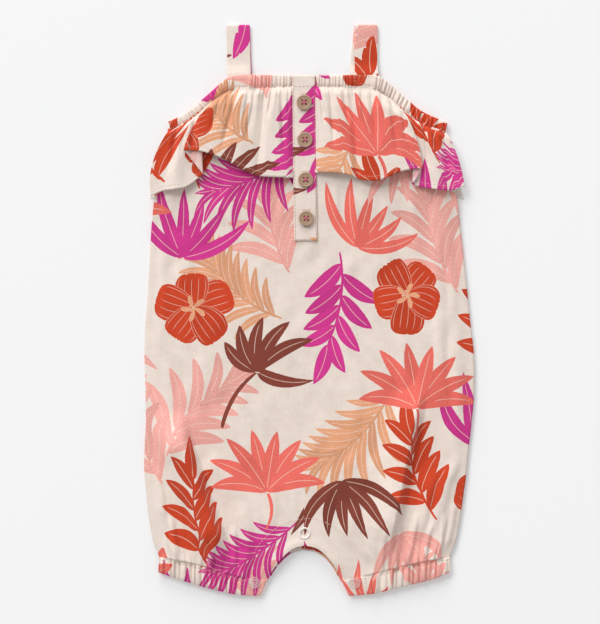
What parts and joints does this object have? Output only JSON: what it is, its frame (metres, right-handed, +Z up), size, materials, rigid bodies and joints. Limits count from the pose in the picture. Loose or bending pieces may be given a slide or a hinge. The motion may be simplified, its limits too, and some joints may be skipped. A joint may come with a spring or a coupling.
{
  "type": "baby romper",
  "caption": "Sleeveless baby romper laid flat: ruffled elastic neckline, buttoned placket, folded straps, short legs with gathered cuffs and a snap crotch.",
  "frame": {"origin": "on the surface that the romper lies on, under the middle of its outline", "axes": "+Z up out of the front, +Y towards the neckline and straps, +X to the right of the garment as seen from above"},
  "size_m": [0.2608, 0.4498, 0.0113],
  "materials": {
    "printed_cloth": null,
    "button": "tan, satin, four holes sewn with magenta thread",
    "snap": "off-white, slightly translucent"
  },
  "bodies": {
    "root": {"front_panel": "printed_cloth", "back_panel": "printed_cloth", "ruffle_front_left": "printed_cloth", "ruffle_front_right": "printed_cloth", "ruffle_back": "printed_cloth", "casing_front_left": "printed_cloth", "casing_front_right": "printed_cloth", "casing_back": "printed_cloth", "placket": "printed_cloth", "strap_left": "printed_cloth", "strap_right": "printed_cloth", "cuff_front_left": "printed_cloth", "cuff_front_right": "printed_cloth", "cuff_back_left": "printed_cloth", "cuff_back_right": "printed_cloth", "snap_strip_back": "printed_cloth", "button_1": "button", "button_2": "button", "button_3": "button", "button_4": "button", "snap_middle": "snap", "snap_left": "snap", "snap_right": "snap"}
  },
  "joints": []
}
